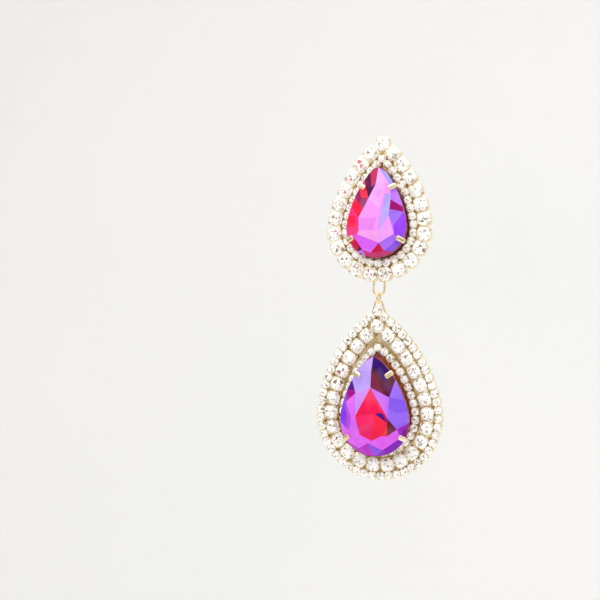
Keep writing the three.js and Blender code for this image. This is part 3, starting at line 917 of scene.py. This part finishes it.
def plateFrom(name, outlines, sinks, openBands):  # outlines from the outside in
    steps = frames["steps"]
    rings = [
        [(x, depth, z - sink) for x, depth, z in ringAt(outline, 0, steps)]
        for outline, sink in zip(outlines, sinks)
    ]
    piece = loftRings(name, rings, False)
    if openBands:
        editing(True)
        perWindow = steps // frames["windows"]
        mesh = bmesh.from_edit_mesh(piece.data)
        spot = mesh.verts.layers.int["spot"]
        for face in mesh.faces:
            levels = {corner.index // steps for corner in face.verts}
            spots = sorted(corner[spot] for corner in face.verts)
            first = spots[0] if spots[-1] - spots[0] < steps / 2 else steps - 1
            face.select = levels == {1, 2} and first % perWindow not in (0, perWindow - 1)
        bmesh.update_edit_mesh(piece.data)
        bpy.ops.mesh.delete(type="FACE")
        editing(False)
    return piece


def finishFrame(plate, wire, name, body, place):
    useModifier(plate, "SOLIDIFY", thickness=drops["plate"], offset=0)
    plate.data.transform(Matrix.Translation((0, -drops["plate"] / 2, 0)))
    bevelSharp(plate, frames["bevel"], 2, 60)
    joined = joinPieces([plate, wire], name)
    smoothCurves(joined)
    finishPiece(joined, body, [name], gold, place)
    print("stage:", name)


def halfRound(radius, middle, start, end, depth):
    steps = loops["steps"]
    turns = [math.radians(start + (end - start) * i / steps) for i in range(steps + 1)]
    return [(radius * math.cos(t), depth, middle + radius * math.sin(t)) for t in turns]


def makeUpperFrame():
    outer = upperStonesEdge.grown(-frames["upperOverhang"], True)
    opening = upperEdge.grown(frames["trayGap"] - wallInsetOf(upperPear))
    plate = plateFrom("plate", [outer, opening], [0, 0], False)
    depth = drops["plate"] / 2
    radius = (loops["upperWidth"] - drops["wire"]) / 2
    foot = -outer.radius + loops["upperFoot"]
    run = [(-radius, depth, foot)] + halfRound(radius, upperLoopCentre + radius, 180, 360, depth)
    run.append((radius, depth, foot))
    loop = wirePiece("loop", run, wireRadius, loops["sides"])
    finishFrame(plate, loop, "upper_back_frame", "upper_drop", upperPlace)


def makeLowerFrame():
    outer = lowerStonesEdge.grown(-frames["lowerOverhang"], True)
    opening = lowerEdge.grown(frames["trayGap"] - wallInsetOf(lowerPear))
    window = outer.grown(-frames["outerStrip"], True)
    plate = plateFrom("plate", [
        outer, window, window.grown(-frames["windowWidth"], True), opening,
    ], [0, 0, 0, lowerPear["sink"]], True)
    depth = drops["plate"] / 2
    radius = (loops["lowerWidth"] - drops["wire"]) / 2
    foot = outer.tip - loops["lowerFoot"]
    spread = loops["lowerSpread"] / 2
    run = [(-spread, depth, foot)] + halfRound(radius, lowerLoopCentre - radius, 180, 0, depth)
    run.append((spread, depth, foot))
    loop = wirePiece("loop", run, wireRadius, loops["sides"])
    finishFrame(plate, loop, "lower_back_frame", "lower_drop", lowerPlace)


makeUpperFrame()
makeLowerFrame()

# Link and ear post

link = {"ringSteps": 48, "wireSides": 14}
post = {
    "diameter": 0.8, "length": 11, "nose": 0.4, "padDiameter": 5, "pad": 0.5, "sides": 48, "root": 0.25,
    "rootHeight": 0.3, "bevel": 0.08, "noseSteps": [(0.85, 0.22), (0.6, 0.12), (0.3, 0.06)],
}


def makeLink():
    radius = (loops["linkDiameter"] - drops["wire"]) / 2
    bpy.ops.mesh.primitive_torus_add(
        major_segments=link["ringSteps"], minor_segments=link["wireSides"],
        major_radius=radius, minor_radius=wireRadius, rotation=(0, math.pi / 2, 0),
    )
    ring = startPiece("middle_link")
    bpy.ops.object.transform_apply(rotation=True)
    bpy.ops.object.shade_smooth()
    ring.select_set(False)
    middle = pivots["fore_aft_swing"] + Vector((0, 0, (wireStep - radius) * drops["millimetre"]))
    place = Matrix.Translation(middle) @ toMetres
    finishPiece(ring, "middle_link", ["middle_link"], gold, place)
    print("stage: middle_link")


def makePost():
    pinRadius, padRadius = post["diameter"] / 2, post["padDiameter"] / 2
    start = drops["clearance"]
    bpy.ops.mesh.primitive_cylinder_add(
        vertices=post["sides"], radius=padRadius, depth=post["pad"],
        location=(0, start + post["pad"] / 2, 0), rotation=(-math.pi / 2, 0, 0),
    )
    pin = startPiece("ear_post")
    bpy.ops.object.transform_apply(location=True, rotation=True)
    editing(True)
    choose(pin, "faces", lambda face: face.normal.y > 0.9)
    bpy.ops.mesh.inset(thickness=padRadius - pinRadius - post["root"])
    bpy.ops.mesh.inset(thickness=post["root"])
    run = post["length"] - post["pad"] - post["nose"]
    for back in (post["rootHeight"], run - post["rootHeight"]):
        bpy.ops.mesh.extrude_region_move(TRANSFORM_OT_translate={"value": (0, back, 0)})
    for share, back in post["noseSteps"]:
        bpy.ops.mesh.extrude_region_move(TRANSFORM_OT_translate={"value": (0, back, 0)})
        bpy.ops.transform.resize(value=(share, 1, share))
    editing(False)
    bevelSharp(pin, post["bevel"], 3, 50)
    smoothCurves(pin)
    finishPiece(pin, "upper_drop", ["ear_post"], gold, postPlace)
    print("stage: ear_post")


makeLink()
makePost()

# Studio: a pale sweep, soft lights and the camera

studio = {
    "azimuth": 17, "elevation": 1.5, "distance": 1.0, "lens": 197, "sensor": 36,
    "asideMm": 25.1, "aboveMm": 2.5, "floorBelow": 0.6, "wallBehind": 0.7, "sweepRadius": 0.4,
    "sweepSteps": 16, "sweepWidth": 4, "sweepFront": -3, "wallHeight": 3,
    "paper": [(0.3, "#EFF0EF"), (0.7, "#F3F3F2")],
}
softboxes = {
    "key_softbox": {"energy": 2.2, "size": 0.7, "azimuth": -35, "elevation": 40, "distance": 1.0},
    "fill_softbox": {"energy": 0.9, "size": 0.8, "azimuth": 60, "elevation": 15, "distance": 1.1},
    "top_softbox": {"energy": 1.4, "size": 0.6, "azimuth": 10, "elevation": 80, "distance": 0.9},
    "overhead_softbox": {
        "energy": 14, "size": 1.5, "azimuth": 180, "elevation": 60, "distance": 1.2, "behind": -0.6,
    },
    "wall_softbox": {
        "energy": 1.6, "size": 1.2, "azimuth": 0, "elevation": 40, "distance": 0.9, "behind": 1.1,
    },
}
studioAir = {
    "stops": [(0.0, "#B8B2AC"), (1.0, "#FFFFFF"), (0.37, "#7A746E"), (0.53, "#ECE8E2")], "strength": 0.75,
}


def makeSweep(bottom):
    floor = bottom - studio["floorBelow"]
    bpy.ops.mesh.primitive_plane_add(size=1, location=(0, 0, 0))
    sweep = startPiece("pale_sweep")
    editing(True)
    mesh = bmesh.from_edit_mesh(sweep.data)
    for corner in mesh.verts:
        depth = studio["sweepFront"] if corner.co.y < 0 else studio["wallBehind"]
        corner.co = (studio["sweepWidth"] * corner.co.x, depth, floor)
    bmesh.update_edit_mesh(sweep.data)
    wall, radius = studio["wallBehind"], studio["sweepRadius"]
    choose(sweep, "edges", lambda side: all(v.co.y > 0 for v in side.verts))
    last = (wall, floor)
    for step in range(1, studio["sweepSteps"] + 1):
        turn = math.radians(90 * step / studio["sweepSteps"])
        here = (wall + radius * math.sin(turn), floor + radius * (1 - math.cos(turn)))
        bpy.ops.mesh.extrude_region_move(
            TRANSFORM_OT_translate={"value": (0, here[0] - last[0], here[1] - last[1])}
        )
        last = here
    bpy.ops.mesh.extrude_region_move(TRANSFORM_OT_translate={"value": (0, 0, studio["wallHeight"])})
    editing(False)
    bpy.ops.object.shade_smooth()
    material, shader, place = newMaterial("pale_paper", {"Specular IOR Level": 0.1})
    paper = noiseAt(place, 3.0, 2.0)
    stops = [(position, colour(code)) for position, code in studio["paper"]]
    paper.node("ShaderNodeValToRGB", {"stops": stops}, {0: paper}).into(shader, "Base Color")
    (paper * 0.1 + 0.8).into(shader, "Roughness")
    sweep.data.materials.append(material)
    sweep.select_set(False)


def outFrom(values):  # from the middle towards a light or camera
    around, up = math.radians(values["azimuth"]), math.radians(values["elevation"])
    return Vector((math.sin(around) * math.cos(up), -math.cos(around) * math.cos(up), math.sin(up)))


def makeLight(name, values, middle):
    data = bpy.data.lights.new(name, "AREA")
    data.energy, data.size = values["energy"], values["size"]
    lamp = bpy.data.objects.new(name, data)
    out = outFrom(values)
    lamp.location = middle + Vector((0, values.get("behind", 0), 0)) + out * values["distance"]
    lamp.rotation_euler = out.to_track_quat("Z", "Y").to_euler()
    bpy.context.collection.objects.link(lamp)


def makeWorld():
    world = bpy.data.worlds.new("studio_air")
    bpy.context.scene.world = world
    world.use_nodes = True
    tree = world.node_tree
    place = Wire(tree, tree.nodes.new("ShaderNodeTexCoord").outputs["Generated"])
    height = place.node("ShaderNodeSeparateXYZ", {}, {0: place}, 2)
    share = height * 0.5 + 0.5
    stops = [(position, colour(code)) for position, code in studioAir["stops"]]
    air = share.node("ShaderNodeValToRGB", {"stops": stops}, {0: share})
    air.into(tree.nodes["Background"], "Color")
    tree.nodes["Background"].inputs["Strength"].default_value = studioAir["strength"]


def makeCamera(middle):
    out = outFrom(studio)
    around = math.radians(studio["azimuth"])
    right = Vector((math.cos(around), math.sin(around), 0))
    aim = middle - right * studio["asideMm"] * drops["millimetre"]
    aim.z += studio["aboveMm"] * drops["millimetre"]
    data = bpy.data.cameras.new("photo_camera")
    data.lens, data.sensor_width, data.clip_start = studio["lens"], studio["sensor"], 0.01
    camera = bpy.data.objects.new("photo_camera", data)
    camera.location = aim + out * studio["distance"]
    camera.rotation_euler = out.to_track_quat("Z", "Y").to_euler()
    bpy.context.collection.objects.link(camera)
    bpy.context.scene.camera = camera


low, high = (Vector(corner) for corner in packedBox)
centre = (low + high) / 2
makeSweep(low.z)
for name, values in softboxes.items():
    makeLight(name, values, centre)
makeWorld()
makeCamera(centre)
bpy.context.scene.view_settings.view_transform = "Standard"
print("stage: studio made")
